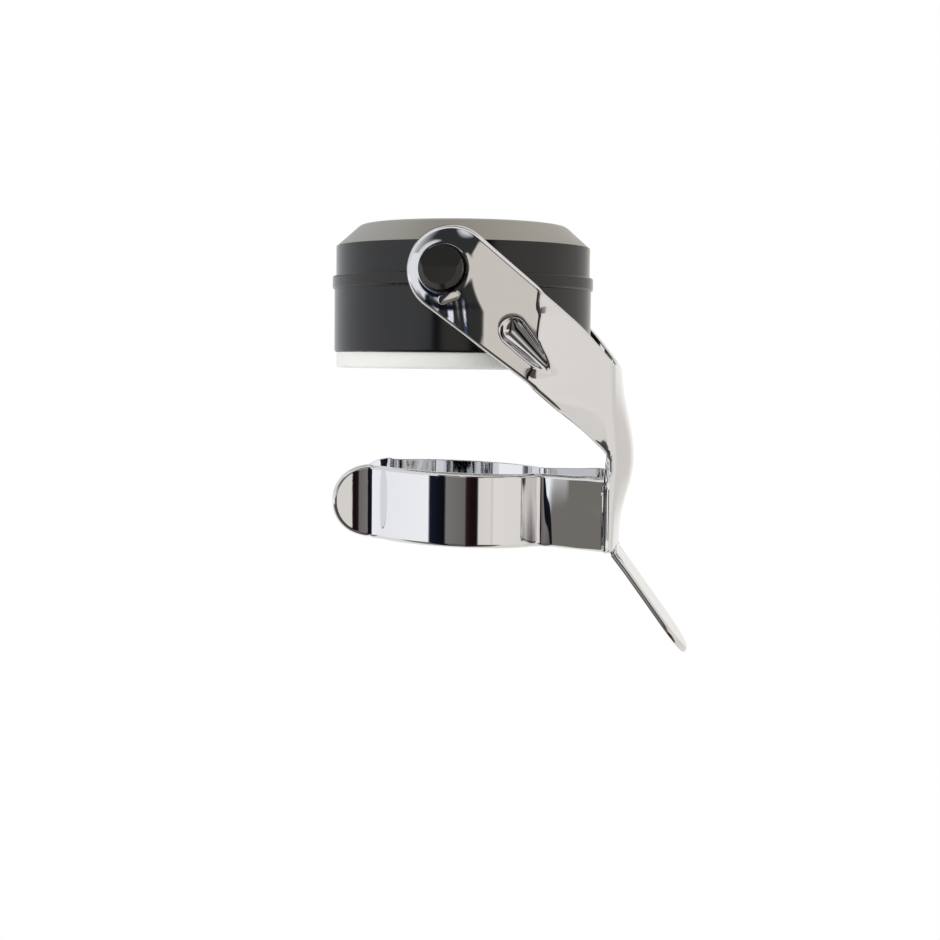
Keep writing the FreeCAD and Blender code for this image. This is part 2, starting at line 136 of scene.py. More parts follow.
# Studio: pale floor, soft lamps, and surroundings that only polished surfaces show.
# Each band of the surroundings starts at an elevation and holds (azimuth, colour) stops in degrees,
# azimuth 0 being in front of the near arm and growing towards the lever's back.
behind = [(128, "#cbc7c2"), (150, "#cbc7c2"), (168, "#dedcd8")]
studio = {
    "floorHeight": -130.0,
    "floorSize": 6000.0,
    "floor": "#f4f4f2",
    "floorRough": 0.6,
    "whiteSeen": "#ffffff",
    "fill": "#ffffff",
    "worldLevel": 0.55,
    "glossLevel": 1.25,
    "lampPower": 6.0,
    "lamps": {
        "leftSoftbox": ((-0.9, -0.5, 0.35), (0.7, 0.9)),    # place and size in metres
        "topSoftbox": ((0.2, -0.3, 1.0), (0.9, 0.9)),
    },
    "bandBlend": 1.2,
    "bands": [
        (-90.0, [(-118, "#dcdad5"), (-76, "#dcdad5"), (-64, "#6e6b66"), (-31.5, "#6e6b66"),
                 (-30.5, "#16161a"), (-11.5, "#121214"), (-10.5, "#5a5856"), (13.2, "#5a5856"),
                 (14.2, "#241619"), (28.2, "#20161a"), (30, "#4a4542"), (54, "#4a4542"),
                 (60, "#d0ccc6"), (120, "#d6d3ce")]),
        (-9.0, [(-118, "#e2e4e6"), (-105, "#e6e8ea"), (-31.8, "#eceef0"), (-30.8, "#151a2a"),
                (-22, "#10131e"), (-11.4, "#0c0c10"), (-10.6, "#757270"), (13.0, "#676462"),
                (14.2, "#2c181c"), (20, "#1a0f12"), (28.0, "#141012"), (29.4, "#d4d0ca"),
                (44, "#d8d4ce"), (46, "#c4c0ba"), (48, "#dcd8d2"), (110, "#d8d4ce")] + behind),
        (-2.0, [(-118, "#d6d8da"), (-19.6, "#dcdee0"), (-18.4, "#3c4058"), (-17, "#24262a"),
                (-11.6, "#34342f"), (-10.6, "#c6c1b8"), (12.6, "#c8c4bd"), (14.0, "#6a6460"),
                (16, "#2b2223"), (24.0, "#3a3234"), (34.0, "#4a4342"), (37.0, "#d3cfc9"),
                (60, "#d8d4ce"), (110, "#d8d5d0")] + behind),
        (9.0, [(-118, "#d0d2d4"), (-22, "#d0d2d4"), (-20, "#2c2e30"), (6, "#33342e"),
               (8, "#b8b4ae"), (22, "#3a3436"), (40, "#5a5552"), (62, "#8f8b86"),
               (70, "#d3cfc9"), (110, "#d4d1cc")] + behind),
        (32.0, [(-118, "#d0d0d0"), (0, "#e0dfdc"), (118, "#d6d3cf")]),
        (62.0, [(-118, "#b4b2ad"), (-60, "#8f8c86"), (40, "#8f8c86"), (90, "#c8c5c0")]),
    ],
}


def addSurroundings(tree, s):
    # the colour of the surroundings by direction
    coord = addNode(tree, "ShaderNodeTexCoord")
    parts = addNode(tree, "ShaderNodeSeparateXYZ", {"Vector": coord.outputs["Generated"]})
    back = addNode(tree, "ShaderNodeMath", {0: parts.outputs["Y"]}, operation="MULTIPLY")
    back.inputs[1].default_value = -1.0
    turn = addNode(tree, "ShaderNodeMath", {0: parts.outputs["X"], 1: back.outputs[0]}, operation="ARCTAN2")
    share = addNode(tree, "ShaderNodeMapRange", {"Value": turn.outputs[0]}, From_Min=-math.pi,
                    From_Max=math.pi)
    rise = addNode(tree, "ShaderNodeMath", {0: parts.outputs["Z"]}, operation="ARCSINE")
    colour = None
    for elevation, stops in s["bands"]:
        ramp = addNode(tree, "ShaderNodeValToRGB", {"Fac": share.outputs["Result"]})
        elements = ramp.color_ramp.elements
        while len(elements) > 1:
            elements.remove(elements[-1])
        for n, (azimuth, code) in enumerate(stops):
            place = (azimuth + 180) / 360
            element = elements[0] if n == 0 else elements.new(place)
            element.position = place
            element.color = linear(code)
        if colour is None:
            colour = ramp.outputs["Color"]
            continue
        low = math.radians(elevation - s["bandBlend"])
        high = math.radians(elevation + s["bandBlend"])
        above = addNode(tree, "ShaderNodeMapRange", {"Value": rise.outputs[0]}, From_Min=low, From_Max=high)
        mix = addNode(tree, "ShaderNodeMix", {"Factor": above.outputs["Result"]}, data_type="RGBA")
        tree.links.new(colour, mix.inputs[6])
        tree.links.new(ramp.outputs["Color"], mix.inputs[7])
        colour = mix.outputs[2]
    return colour


def makeStudio(s):
    world = bpy.data.worlds.new("studio")
    bpy.context.scene.world = world
    world.use_nodes = True
    tree = world.node_tree
    tree.nodes.clear()
    rays = addNode(tree, "ShaderNodeLightPath")
    plain = addNode(tree, "ShaderNodeBackground", Color=linear(s["fill"]), Strength=s["worldLevel"])
    around = addSurroundings(tree, s)
    gloss = addNode(tree, "ShaderNodeBackground", {"Color": around}, Strength=s["glossLevel"])
    seen = addNode(tree, "ShaderNodeBackground", Color=linear(s["whiteSeen"]), Strength=1.0)
    shiny = addNode(tree, "ShaderNodeMath", {0: rays.outputs["Is Glossy Ray"],
                                            1: rays.outputs["Is Transmission Ray"]}, operation="MAXIMUM")
    first = addNode(tree, "ShaderNodeMixShader", {0: shiny.outputs[0], 1: plain.outputs[0],
                                                 2: gloss.outputs[0]})
    second = addNode(tree, "ShaderNodeMixShader", {0: rays.outputs["Is Camera Ray"], 1: first.outputs[0],
                                                  2: seen.outputs[0]})
    addNode(tree, "ShaderNodeOutputWorld", {"Surface": second.outputs[0]})
    bpy.ops.mesh.primitive_plane_add(size=s["floorSize"] * mm, location=(0, 0, s["floorHeight"] * mm))
    floor = bpy.context.object
    floor.name = "floor"
    mat, tree, shader = newMaterial("paleFloor", Base_Color=linear(s["floor"]), Roughness=s["floorRough"])
    rays = addNode(tree, "ShaderNodeLightPath")
    white = addNode(tree, "ShaderNodeEmission", Color=linear(s["whiteSeen"]), Strength=1.0)
    mix = addNode(tree, "ShaderNodeMixShader", {0: rays.outputs["Is Camera Ray"], 1: shader.outputs[0],
                                                2: white.outputs[0]})
    tree.links.new(mix.outputs[0], tree.nodes["Material Output"].inputs["Surface"])
    useMaterial(floor, mat)
    floor.visible_glossy = False    # polished pieces show the surroundings there too
    floor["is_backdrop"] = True


def addLamp(name, place, size, power):
    # a soft box that looks at the cap
    data = bpy.data.lights.new(name, "AREA")
    data.shape = "RECTANGLE"
    data.size, data.size_y = size
    data.energy = power
    lamp = bpy.data.objects.new(name, data)
    lamp.location = place
    lamp.rotation_euler = (-Vector(place)).to_track_quat("-Z", "Y").to_euler()
    lamp.visible_glossy = False     # polished pieces show the surroundings in its stead
    bpy.context.scene.collection.objects.link(lamp)


# Lever: arms, flanks, web, collar and tab pressed from one chromed sheet; all sizes in mm
lever = {
    "sheet": 0.9,
    "armFace": 21.7,            # outer face of an arm, from the middle
    "eyeCentre": (1.0, 14.3),   # x and z
    "eyeRadius": 6.45,
    "holeCentre": (0.0, 14.5),
    "holeRadius": 3.26,
    "shoulder": (14.3, 11.5),
    "brow": (20.6, 5.9),
    "webTop": (24.9, 0.6),
    "knee": (13.8, -3.0),
    "heel": (23.7, -12.6),
    "cornerBlend": 1.6,         # how softly the side outline turns
    "bend": (14.0, 4.2),        # where the arm's bend is, and its lean
    "bendLean": 7.0,
    "bendRound": 1.9,
    "webBulge": 2.35,
    "bulgeHeight": -14.0,
    "waistHeight": -24.5,
    "cornerSet": 0.55,
    "webHalf": (10.6, 11.6),    # half width at the top and at the foot
    "cornerRound": 2.4,
    "crownShares": (0.35, 0.4),
    "ridgeShares": (0.25, 0.75),
    "flankRidge": 0.9,
    "foot": -27.4,
    "windowRound": 1.4,
    "collarInside": 13.8,
    "collarTop": -15.4,
    "collarHeight": 11.2,
    "collarTilt": 1.9,
    "earFoot": 26.0,            # degrees round from the back
    "earBend": 1.3,
    "earLean": 3.0,             # the ear's face looks down a little
    "flareStart": 43.0,
    "flareRadii": (3.2, 7.0),   # the lip turns out tight at first and then slowly
    "flareTurns": (47.4, 21.6),
    "tipX": -18.3,
    "tipRound": 5.4,
    "tabLength": 19.4,
    "tabHalf": 6.3,
    "tabAngle": 36.2,
    "tabBend": 1.2,
    "tabTipRound": 5.6,
    "rimCell": 0.86,            # width of the mesh cell along a free edge
    "slantFactor": 1.4,         # the same, along the slanted outline of the arm
    "rimRound": 0.6,
    "innerRimShare": 0.25,
    "holeRimShare": 0.45,       # share of the rounding at the pin's hole
    "gridX": 6.9,               # where the eye's rings of faces meet the arm's grid
    "rows": 76,
    "bandRows": 24,
    "eyeRings": 14,
    "eyeSteps": (16, 56, 12),   # faces below, round and above the eye
    "holeCell": 0.45,
    "eyeRimCell": (1.05, 0.4),  # width of the outer ring: share of rimCell, and its most
    "leastSlant": 0.1,
    "bendCell": 0.17,           # fine cells as far as bendCellEnd, and then flankCell
    "bendCellEnd": 17.2,
    "flankCell": 0.4,
    "plainCell": 0.5,
    "windowSteps": 3,
    "tipSteps": (8, 40),
    "tabSteps": (24, 6),
    "tabFade": 4.0,             # the web's bulge fades out of the tab over this length
    "tipReach": 9.0,            # length at the collar's end that holds its round tip
    "earBlend": (17.5, 21.5),   # between these x the ear takes the pressing's face
    "earLeanRun": (0.4, -1.2, 0.9),     # where the ear's lean fades, from its ends
    "bendZone": (3, 20, -5, 12, 12),    # the bend's x and z limits, and its least y
    "foldZone": (8, 20, -6, 30, 12),
    "dentNear": (10.2, -22.5, 5.6),     # ends of the teardrop gusset's axis
    "dentFar": (15.4, -20.64, 0.2),
    "dentRadii": (2.1, 0.7),
    "dentWall": 0.93,
    "dentBlend": 0.22,
    "dentInside": (0.97, 2),    # share of the sheet, and of the blend, for the inner skin
    "dentReach": (-2.2, -0.8),
    "foldTop": (7.6, 9.6),      # the bend's fold grows between these heights
    "foldFoot": (0.6, -1.2),
    "foldWidth": 1.2,
    "foldTilt": 0.22,
    "foldRound": 0.03,
    "foldEnd": 4.5,
    "leanStart": 4.4,           # from here the arm's end leans in
    "leanBow": 0.05,
    "leanBowMost": 1.9,
    "leanStartTilt": 0.055,
    "leanEase": 0.3,
    "leanCurve": 0.005,
    "leanInside": 0.5,
    "leanBlend": 3.0,
    "topLeanStart": 16.6,
    "topLeanShare": 1.6,
    "waveRise": 0.016,          # low waves below the hole
    "waveRun": 2.1,
    "waveSlant": 0.35,
    "waveDrop": (3.2, 5.0),     # below the hole's centre they grow between these
    "waveSide": 1.2,
    "lipRise": 0.03,
    "lipRadius": 3.7,
    "lipWidth": 0.3,
    "pipPlace": (0.9, 10.3),
    "pipSize": (3.3, 1.45),
    "pipHeight": 0.45,
    "pipRound": 0.18,
    "pipAngle": 23.0,
    "pipSink": 0.3,
    "pipSides": 32,
    "mergeGap": (0.03, 0.02),   # nearest distance of two points, in the sheet and at the mirror
}


def planPoles(p, height):
    # control points of half a plan section at a height, from the near arm to the crown
    down = min(1.0, max(0.0, (p["webTop"][1] - height) / (p["webTop"][1] - p["bulgeHeight"])))
    half = p["webHalf"][0] + (p["webHalf"][1] - p["webHalf"][0]) * down
    if height >= p["bulgeHeight"]:
        swing = (1 - math.cos(math.pi * down)) / 2
    else:
        fall = (p["bulgeHeight"] - height) / (p["bulgeHeight"] - p["waistHeight"])
        swing = (1 + math.cos(math.pi * min(1.0, fall))) / 2
    cornerX = p["webTop"][0] - p["cornerSet"]
    crown = p["webTop"][0] + p["webBulge"] * swing
    earStart = (p["knee"][1] + p["heel"][1]) / 2
    ear = max(0.0, min(1.0, (earStart - height) / (earStart - p["collarTop"])))
    footY = p["collarInside"] * math.sin(math.radians(p["earFoot"]))
    level = max(p["knee"][1], min(p["shoulder"][1], height))
    bendX = p["bend"][0] + (level - p["bend"][1]) * math.tan(math.radians(p["bendLean"]))
    bend = Vector((bendX, -p["armFace"] + (p["armFace"] - footY) * ear, 0))
    corner = Vector((cornerX, -half, 0))
    run = corner - bend
    step = run.normalized()
    out = Vector((step.y, -step.x, 0))
    share = (p["shoulder"][1] - height) / (p["shoulder"][1] - p["webTop"][1])
    share = max(0.0, min(1.0, share))
    ridge = p["ridgeShares"][0] + (p["ridgeShares"][1] - p["ridgeShares"][0]) * share
    swell = p["flankRidge"] * math.sin(math.pi * ridge) * (1 - ear)
    rise = crown - cornerX
    poles = [
        Vector((-p["eyeRadius"] - 2 * p["sheet"], bend.y, 0)),
        Vector((0, bend.y, 0)),
        bend - Vector((p["bendRound"], 0, 0)),
        bend,
        bend + step * p["bendRound"],
        bend + run * ridge + out * swell,
        corner - step * p["cornerRound"],
        corner,
        Vector((cornerX + rise * p["crownShares"][0], -half + p["cornerRound"], 0)),
        Vector((crown, -half * p["crownShares"][1], 0)),
        Vector((crown, 0, 0)),
    ]
    return [Vector((q.x, q.y, height)) for q in poles]


def splineWeights(knots, first, place):
    # the four weights of a cubic spline at a place
    weights = [1.0]
    for degree in (1, 2, 3):
        carried = 0.0
        for n in range(degree):
            low = knots[first + 1 - degree + n]
            high = knots[first + 1 + n]
            share = weights[n] / (high - low)
            weights[n] = carried + (high - place) * share
            carried = (place - low) * share
        weights.append(carried)
    return weights


def clampedSpline(values, place):
    # a point of the cubic spline through its two end values, place from 0 to its number of spans
    spans = len(values) - 3
    knots = [0] * 4 + list(range(1, spans)) + [spans] * 4
    start = max(0, min(spans - 1, int(place)))
    weights = splineWeights(knots, start + 3, place)
    total = values[start] * weights[0]
    for n in (1, 2, 3):
        total = total + values[start + n] * weights[n]
    return total


def findPlace(measure, target, low, high):
    # where a rising measure reaches its target
    for step in range(34):
        middle = (low + high) / 2
        if measure(middle) < target:
            low = middle
        else:
            high = middle
    return (low + high) / 2


def makeForm(p):
    # the pressing's outer face: sectionAt(height) gives the poles of its plan curve
    top = p["holeCentre"][1] + p["eyeRadius"] + 2 * p["sheet"]
    webTop, bulge, waist = p["webTop"][1], p["bulgeHeight"], p["waistHeight"]
    heights = [top, p["shoulder"][1], (p["shoulder"][1] + webTop) / 2, webTop]
    heights += [webTop + (bulge - webTop) * n / 4 for n in (1, 2, 3, 4)]
    heights += [bulge + (waist - bulge) * n / 3 for n in (1, 2, 3)]
    heights += [p["foot"] - 2 * p["sheet"]]
    net = []
    for height in heights:
        half = planPoles(p, height)
        net.append(half + [Vector((q.x, -q.y, q.z)) for q in reversed(half[:-1])])
    spans = len(heights) - 3

    def sectionAt(height):
        row = findPlace(lambda r: -clampedSpline(heights, r), -height, 0, spans)
        return [clampedSpline([line[n] for line in net], row) for n in range(len(net[0]))]

    return sectionAt


def bentLine(points, x, blend):
    # height of a line through points at x, with its turns rounded
    for n in range(1, len(points) - 1):
        slopeIn = (points[n][1] - points[n - 1][1]) / (points[n][0] - points[n - 1][0])
        slopeOut = (points[n + 1][1] - points[n][1]) / (points[n + 1][0] - points[n][0])
        away = x - points[n][0]
        if abs(away) < blend:
            return points[n][1] + slopeIn * away + (slopeOut - slopeIn) * (away + blend) ** 2 / (4 * blend)
    n = 0
    while n < len(points) - 2 and x > points[n + 1][0]:
        n += 1
    slope = (points[n + 1][1] - points[n][1]) / (points[n + 1][0] - points[n][0])
    return points[n][1] + slope * (x - points[n][0])


def tangentPoint(centre, radius, point, turn):
    # where a line from a point touches a circle
    dx, dz = point[0] - centre[0], point[1] - centre[1]
    angle = math.atan2(dz, dx) + turn * math.acos(radius / math.hypot(dx, dz))
    return centre[0] + radius * math.cos(angle), centre[1] + radius * math.sin(angle)


def rimShares(count, length, first, last):
    # shares of a length: a first and a last cell of set widths and even cells between
    inside = length - first - last
    shares = [0.0] + [(first + inside * n / (count - 2)) / length for n in range(count - 1)]
    return shares + [1.0]


def evenCount(length, cell):
    return max(2, round(length / cell))


def addPatch(columns, rows, place):
    # a grid of faces with each of its corners put in place
    bpy.ops.mesh.primitive_grid_add(x_subdivisions=columns, y_subdivisions=rows, size=1)
    patch = bpy.context.object
    for vert in patch.data.vertices:
        column = round((vert.co.x + 0.5) * columns)
        row = round((vert.co.y + 0.5) * rows)
        vert.co = place(column, row)
    return patch


def coons(sides, column, row, shares):
    # a point of the patch between four lines of points, at its shares across and down
    top, bottom, right, left = sides
    across, down = shares
    place = top[column] * (1 - down) + bottom[column] * down
    place = place + right[row] * (1 - across) + left[row] * across
    place = place - (top[0] * (1 - down) + bottom[0] * down) * (1 - across)
    return place - (top[-1] * (1 - down) + bottom[-1] * down) * across


def lineShares(points):
    # how far along a line of points each one is, from 0 to 1
    run = [0.0]
    for n in range(1, len(points)):
        run.append(run[-1] + (points[n] - points[n - 1]).length)
    return [r / run[-1] for r in run]


def arcPoints(centre, radius, start, end, count):
    angles = [math.radians(start + (end - start) * n / count) for n in range(count + 1)]
    return [Vector((centre[0] + radius * math.cos(a), centre[1] + radius * math.sin(a))) for a in angles]


def leverOutline(p):
    # the side outline's upper and lower lines, by x
    upperTouch = tangentPoint(p["eyeCentre"], p["eyeRadius"], p["shoulder"], 1)
    lowerTouch = tangentPoint(p["eyeCentre"], p["eyeRadius"], p["knee"], -1)
    upper = [upperTouch, p["shoulder"], p["brow"], p["webTop"]]
    lower = [lowerTouch, p["knee"], p["heel"]]
    return upper, lower


def armRow(p, lines, x, row):
    # height of a row of the arm's grid at x
    upper = bentLine(lines[0], x, p["cornerBlend"])
    lower = bentLine(lines[1], x, p["cornerBlend"])
    cell = p["rimCell"] * p["slantFactor"]
    share = rimShares(p["rows"], upper - lower, cell, cell)[row]
    return upper + (lower - upper) * share


def formPoint(sectionAt, x, height):
    # the point of the pressing's outer face at x and a height
    poles = sectionAt(height)
    nearSide = (len(poles) - 5) / 2
    along = findPlace(lambda a: clampedSpline(poles, a).x, x, 0, nearSide)
    return clampedSpline(poles, along), along, poles


def armPatches(p, sectionAt):
    lines = leverOutline(p)
    rows = p["rows"]
    fineEnd = p["bendCellEnd"]
    count = evenCount(fineEnd - p["gridX"], p["bendCell"])
    columns = [p["gridX"] + (fineEnd - p["gridX"]) * n / count for n in range(count)]
    count = evenCount(p["heel"][0] - fineEnd, p["flankCell"])
    columns += [fineEnd + (p["heel"][0] - fineEnd) * n / count for n in range(count + 1)]

    def flankPlace(column, row):
        x = columns[column]
        return formPoint(sectionAt, x, armRow(p, lines, x, row))[0]

    flank = addPatch(len(columns) - 1, rows, flankPlace)

    start, touch = lines[0][0], lines[1][0]
    loop = [Vector((p["gridX"], armRow(p, lines, p["gridX"], row))) for row in range(rows + 1)]
    free = [False] * (rows + 1)
    free[0] = free[-1] = True
    below, around, above = p["eyeSteps"]
    for n in range(1, below + 1):
        x = p["gridX"] + (touch[0] - p["gridX"]) * n / below
        loop.append(Vector((x, bentLine(lines[1], x, p["cornerBlend"]))))
    eye = p["eyeCentre"]
    first = math.degrees(math.atan2(touch[1] - eye[1], touch[0] - eye[0])) % 360
    last = math.degrees(math.atan2(start[1] - eye[1], start[0] - eye[0])) % 360
    loop += arcPoints(eye, p["eyeRadius"], first, last, around)[1:]
    for n in range(1, above + 1):
        x = start[0] + (p["gridX"] - start[0]) * n / above
        loop.append(Vector((x, bentLine(lines[0], x, p["cornerBlend"]))))
    free += [True] * (len(loop) - len(free))
    hole = Vector(p["holeCentre"])
    rings = p["eyeRings"]

    def edgeNear(column):
        # direction of the free edge at a point of the loop; at the grid's corners, of its one side
        if column == rows:
            return (loop[column + 1] - loop[column]).normalized()
        if column in (0, len(loop) - 1):
            return (loop[-1] - loop[-2]).normalized()
        return (loop[column + 1] - loop[column - 1]).normalized()

    def eyePlace(column, row):
        out = (loop[column] - hole).normalized()
        inner = hole + out * p["holeRadius"]
        length = (loop[column] - inner).length
        lastCell = length / rings
        if free[column]:
            slant = max(p["leastSlant"], abs(edgeNear(column).cross(out)))
            cellShare, most = p["eyeRimCell"]
            lastCell = min(length * most, p["rimCell"] * cellShare / slant)
        share = rimShares(rings, length, p["holeCell"], lastCell)[row]
        place = inner + (loop[column] - inner) * share
        if place.x > p["gridX"] - 1:
            return formPoint(sectionAt, place.x, place.y)[0]
        return Vector((place.x, -p["armFace"], place.y))

    eyeRing = addPatch(len(loop) - 1, rings, eyePlace)
    return [flank, eyeRing]


def webSide(p, lines):
    # the web's near side from the top edge to the foot, as x and height
    rows = p["rows"]
    x = p["heel"][0]
    side = [Vector((x, armRow(p, lines, x, row))) for row in range(rows + 1)]
    centreX = x - p["windowRound"]
    arcZ = p["collarTop"] - centreX * math.tan(math.radians(p["collarTilt"])) + p["windowRound"]
    count = 4
    side += [Vector((x, p["heel"][1] + (arcZ - p["heel"][1]) * n / count)) for n in range(1, count + 1)]
    side += arcPoints((centreX, arcZ), p["windowRound"], 0, -45, p["windowSteps"])[1:]
    bandStart = len(side) - 1
    top = side[-1]
    shares = rimShares(p["bandRows"], top.y - p["foot"], p["rimCell"], p["rimCell"])
    side += [Vector((top.x, top.y + (p["foot"] - top.y) * share)) for share in shares[1:]]
    return side, bandStart, (centreX, arcZ)


def webPatch(p, sectionAt):
    lines = leverOutline(p)
    side, bandStart, window = webSide(p, lines)
    slope = (p["brow"][1] - p["webTop"][1]) / (p["webTop"][0] - p["brow"][0])
    starts = [formPoint(sectionAt, q.x, q.y)[1] for q in side]
    footPoles = sectionAt(p["foot"])
    crown = (len(footPoles) - 3) / 2
    cornerPlace = 6     # the section's seventh pole pulls most here
    tabPlace = findPlace(lambda a: clampedSpline(footPoles, a).y, -p["tabHalf"], cornerPlace, crown)
    tabShare = (tabPlace - starts[-1]) / (crown - starts[-1])
    width = p["webHalf"][1]
    outer = evenCount(width - p["tabHalf"], p["plainCell"])
    inner = evenCount(p["tabHalf"], p["plainCell"])
    firstCell = p["rimCell"] / width * 1.2
    shares = [0.0] + [firstCell + (tabShare - firstCell) * n / (outer - 1) for n in range(outer)]
    nextCell = (1 - tabShare) * p["rimCell"] / p["tabHalf"]
    shares += [tabShare + nextCell + (1 - tabShare - nextCell) * n / (inner - 1) for n in range(inner)]

    tops = []
    for share in shares:
        along = starts[0] + (crown - starts[0]) * share
        height = side[0].y
        for step in range(8):
            x = clampedSpline(sectionAt(height), along).x
            height = p["webTop"][1] - (x - p["webTop"][0]) * slope
        tops.append(height)

    def webPlace(column, row):
        down = (side[row].y - side[0].y) / (side[-1].y - side[0].y)
        height = tops[column] + (side[-1].y - tops[column]) * down
        along = starts[row] + (crown - starts[row]) * shares[column]
        return clampedSpline(sectionAt(height), along)

    web = addPatch(len(shares) - 1, len(side) - 1, webPlace)
    foot = [webPlace(n, len(side) - 1) for n in range(outer, len(shares))]
    return web, foot, side[bandStart:], window


def collarRuns(p):
    # plan of the collar's outer face from the ear to the lip: (length, place at a distance)
    outer = p["collarInside"] + p["sheet"]
    foot = math.radians(p["earFoot"])
    middle = p["collarInside"] + p["sheet"] / 2
    footPoint = Vector((middle * math.cos(foot), -middle * math.sin(foot)))
    corner = Vector((p["webTop"][0] - p["sheet"] / 2, -p["webHalf"][1] + p["sheet"] / 2))
    step = (footPoint - corner).normalized()
    out = Vector((-step.y, step.x))
    if out.y > 0:
        out = -out
    start = corner + out * p["sheet"] / 2
    start = start + step * ((p["heel"][0] - start.x) / step.x)
    shifted = start + out * p["earBend"]
    reach = outer + p["earBend"]
    along = -shifted.dot(step) - math.sqrt(shifted.dot(step) ** 2 - shifted.dot(shifted) + reach ** 2)
    bendCentre = shifted + step * along
    hoopStart = math.atan2(bendCentre.y, bendCentre.x)
    hoopEnd = -math.pi + math.radians(p["flareStart"])
    bendStart = math.atan2(-out.y, -out.x)
    bendTurn = (hoopStart + math.pi) - bendStart
    tight, slow = p["flareRadii"]
    tightTurn, slowTurn = (math.radians(turn) for turn in p["flareTurns"])
    flareStart = hoopEnd + math.pi
    tightCentre = arcVector(hoopEnd) * (outer + tight)
    slowStart = flareStart + tightTurn
    slowCentre = tightCentre + arcVector(slowStart) * (tight - slow)
    flareEnd = slowCentre + arcVector(slowStart + slowTurn) * slow
    away = arcVector(slowStart + slowTurn + math.pi / 2)
    lip = (p["tipX"] - flareEnd.x) / away.x
    return [
        (along, lambda s: start + step * s),
        (abs(bendTurn) * p["earBend"], lambda s: bendCentre + arcVector(
            bendStart + math.copysign(s / p["earBend"], bendTurn)) * p["earBend"]),
        ((hoopStart - hoopEnd) * outer, lambda s: arcVector(hoopStart - s / outer) * outer),
        (tightTurn * tight, lambda s: tightCentre + arcVector(flareStart + s / tight) * tight),
        (slowTurn * slow, lambda s: slowCentre + arcVector(slowStart + s / slow) * slow),
        (lip, lambda s: flareEnd + away * s),
    ]


def arcVector(angle):
    return Vector((math.cos(angle), math.sin(angle)))


def collarPatch(p, sectionAt, side, window):
    runs = collarRuns(p)
    total = sum(run[0] for run in runs)
    slope = math.tan(math.radians(p["collarTilt"]))
    lowest = p["collarTop"] - p["tipX"] * slope - p["collarHeight"]
    lowSlope = (p["foot"] - lowest) / (p["heel"][0] - p["tipX"])

    def planAt(s):
        for length, place in runs:
            if s <= length or place is runs[-1][1]:
                return place(s)
            s -= length

    def distanceAt(x, low, high):
        return findPlace(lambda s: -planAt(s).x, -x, low, high)

    def topAt(s):
        return p["collarTop"] - planAt(s).x * slope

    def lowAt(s):
        return lowest + (planAt(s).x - p["tipX"]) * lowSlope

    tipStart = total - p["tipReach"]
    roundX = p["tipX"] + p["tipRound"]
    highZ = p["collarTop"] - p["tipX"] * slope - p["tipRound"]
    lowZ = lowest + p["tipRound"]
    perX = abs(runs[0][1](1).x - runs[0][1](0).x)

    def atSide(q):
        return Vector(((p["heel"][0] - q.x) / perX, q.y))

    right = [atSide(q) for q in side]
    flatStart = atSide(arcPoints(window, p["windowRound"], -45, -90, p["windowSteps"])[-1]).x
    flatEnd = distanceAt(roundX, tipStart, total)
    flat = evenCount(flatEnd - flatStart, p["plainCell"])
    spots = [flatStart + (flatEnd - flatStart) * n / flat for n in range(1, flat)]

    def edgeLine(inset):
        # the free edge moved inwards: along the top, round the tip and back along the foot
        tip = p["tipRound"] - inset

        def tipPoints(centreZ, start, end, count):
            arc = arcPoints((roundX, centreZ), tip, start, end, count)
            return [Vector((distanceAt(q.x, tipStart, total), q.y)) for q in arc]

        bow = p["windowRound"] + inset
        first = -math.degrees(math.acos(p["windowRound"] * math.cos(math.radians(45)) / bow))
        corner = [atSide(q) for q in arcPoints(window, bow, first, -90, p["windowSteps"])]
        corner[0] = right[1 if inset else 0]
        lowCorner = [Vector((q.x, lowAt(q.x) + inset)) for q in corner]
        lowCorner[0] = right[-2 if inset else -1]
        few, many = p["tipSteps"]
        top = corner + [Vector((q, topAt(q) - inset)) for q in spots] + tipPoints(highZ, 90, 135, few)
        low = lowCorner + [Vector((q, lowAt(q) + inset)) for q in spots] + tipPoints(lowZ, -90, -135, few)
        tipArc = tipPoints(highZ, 135, 180, many) + tipPoints(lowZ, 180, 225, many)
        shares = lineShares(tipArc)
        end = []
        for n in range(p["bandRows"] - 1):
            share = n / (p["bandRows"] - 2)
            k = max(i for i in range(len(tipArc) - 1) if shares[i] <= share + 1e-9)
            gap = shares[k + 1] - shares[k]
            end.append(tipArc[k].lerp(tipArc[k + 1], (share - shares[k]) / gap if gap else 0))
        return top, end, low

    def collarPoint(spot):
        plan = planAt(spot.x)
        ear = runs[0][0]
        blendStart, blendEnd = p["earBlend"]
        if spot.x < ear and plan.x > blendStart:
            share = softStep(blendStart, blendEnd, plan.x)
            formY = formPoint(sectionAt, plan.x, spot.y)[0].y
            plan = Vector((plan.x, plan.y + (formY - plan.y) * share))
        past, before, first = p["earLeanRun"]
        lean = softStep(ear + past, ear + before, spot.x) * softStep(0.0, first, spot.x)
        shift = lean * math.tan(math.radians(p["earLean"])) * (topAt(spot.x) - spot.y)
        return Vector((plan.x, plan.y + shift, spot.y))

    top, end, low = edgeLine(p["rimCell"])
    inner = right[1:-1]
    across, down = lineShares(top), lineShares(inner)
    sides = (top, low, inner, end)
    band = addPatch(len(top) - 1, len(inner) - 1, lambda column, row: collarPoint(
        coons(sides, column, row, (across[column], down[row]))))
    inside = top + end[1:-1] + list(reversed(low))
    outTop, outEnd, outLow = edgeLine(0)
    outside = outTop + outEnd[1:-1] + list(reversed(outLow))
    strip = addPatch(len(inside) - 1, 1, lambda column, row: collarPoint(
        outside[column] if row == 0 else inside[column]))
    return [band, strip]


